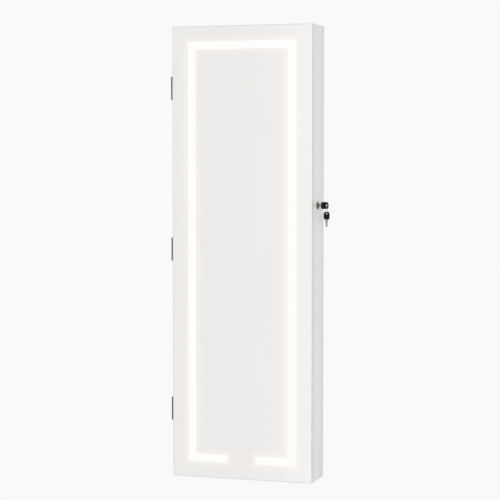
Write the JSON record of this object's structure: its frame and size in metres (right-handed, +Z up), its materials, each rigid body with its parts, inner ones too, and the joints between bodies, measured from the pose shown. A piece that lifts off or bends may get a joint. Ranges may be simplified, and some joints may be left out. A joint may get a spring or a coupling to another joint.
{
  "type": "jewelry mirror cabinet",
  "caption": "Wall cabinet for jewelry with a frameless lit mirror door on butt hinges, a side cam lock with keys, shelves, hooks and ring cushions.",
  "frame": {"origin": "on the wall, at the centre of the pattern of the four wall screws, which is the centre of the cabinet's back", "axes": "+X to the right as the viewer faces the mirror, +Y into the wall, +Z up"},
  "size_m": [0.4304, 0.113, 1.2],
  "materials": {
    "white_lacquer": "white satin lacquer on fibreboard",
    "back_board": "plain hardboard, white on the inside",
    "rail_wood": "raw beech",
    "lining_velvet": "short grey velvet",
    "cushion_velvet": "short grey velvet over foam",
    "clear_acrylic": "clear polished acrylic",
    "hook_metal": "bright nickel plate",
    "hinge_metal": "antique nickel plate",
    "screw_metal": "zinc plate",
    "lock_metal": "satin nickel plate",
    "key_metal": "nickel plate, lightly rubbed",
    "ring_wire": "bright wire",
    "bow_plastic": "black moulded plastic",
    "catch_plastic": "white moulded plastic",
    "magnet_metal": "bare pole plates round a ferrite magnet",
    "mirror_face": "silvered glass with a frosted band",
    "strip_white": "white circuit board",
    "chip_yellow": "phosphor dot in a white case",
    "lead_cover": "white lead",
    "bumper_rubber": "clear soft rubber",
    "box_plastic": "white moulded plastic",
    "cell_jacket": "plain dark jacket, no lettering",
    "contact_metal": "nickel plated spring steel"
  },
  "bodies": {
    "cabinet": {"left_side_panel": "white_lacquer", "right_side_panel": "white_lacquer", "top_panel": "white_lacquer", "bottom_panel": "white_lacquer", "upper_wall_rail": "rail_wood", "lower_wall_rail": "rail_wood", "carcass_dowels": "rail_wood", "back_panel": "back_board", "back_lining": "lining_velvet", "lower_shelf": "white_lacquer", "earring_shelf": "white_lacquer", "middle_shelf": "white_lacquer", "top_shelf": "white_lacquer", "shelf_guards": "clear_acrylic", "column_divider": "white_lacquer", "necklace_rail": "white_lacquer", "necklace_hooks": "hook_metal", "ring_tray": "white_lacquer", "ring_cushions": "cushion_velvet", "earring_bars": "clear_acrylic", "bracelet_rod": "lining_velvet", "rod_sockets": "hook_metal", "catch_housing": "catch_plastic", "catch_magnet": "magnet_metal", "cabinet_screws": "screw_metal", "lock_housing": "lock_metal", "lock_nut": "lock_metal", "hinge_pins": "hinge_metal", "lower_body_leaf": "hinge_metal", "middle_body_leaf": "hinge_metal", "upper_body_leaf": "hinge_metal"},
    "door": {"door_board": "white_lacquer", "mirror_glass": "mirror_face", "led_strip": "strip_white", "led_chips": "chip_yellow", "led_leads": "lead_cover", "touch_sensor": "strip_white", "door_liner": "lining_velvet", "door_bumpers": "bumper_rubber", "door_screws": "screw_metal", "strike_plate": "lock_metal", "keeper_bracket": "lock_metal", "keeper_peg": "lock_metal", "battery_box": "box_plastic", "battery_cells": "cell_jacket", "battery_contacts": "contact_metal", "lower_door_leaf": "hinge_metal", "middle_door_leaf": "hinge_metal", "upper_door_leaf": "hinge_metal"},
    "lock": {"lock_plug": "lock_metal", "lock_cam": "lock_metal", "cam_screw": "screw_metal"},
    "key": {"key_blade": "key_metal", "key_bow": "bow_plastic"},
    "ring": {"key_ring": "ring_wire"},
    "spare_key": {"spare_key_blade": "key_metal", "spare_key_bow": "bow_plastic"},
    "lid": {"battery_lid": "box_plastic"}
  },
  "joints": [
    {"name": "door_swing", "type": "hinge", "parent": "cabinet", "child": "door", "pos_m": [-0.1998, -0.09425, 0], "axis": [0, 0, -1], "range_deg": [0, 180]},
    {"name": "lock_turn", "type": "hinge", "parent": "cabinet", "child": "lock", "pos_m": [0.193, -0.0605, 0.128], "axis": [-1, 0, 0], "range_deg": [0, 90]},
    {"name": "key_slide", "type": "slide", "parent": "lock", "child": "key", "axis": [1, 0, 0], "range_m": [0, 0.017]},
    {"name": "ring_swing", "type": "hinge", "parent": "key", "child": "ring", "pos_m": [0.218, -0.0605, 0.12575], "axis": [0, -1, 0], "range_deg": [-15, 60]},
    {"name": "spare_key_swing", "type": "hinge", "parent": "ring", "child": "spare_key", "pos_m": [0.218, -0.0605, 0.11645], "axis": [1, 0, 0], "range_deg": [-90, 90]},
    {"name": "lid_slide", "type": "slide", "parent": "door", "child": "lid", "axis": [0, 0, 1], "range_m": [0, 0.06]}
  ]
}
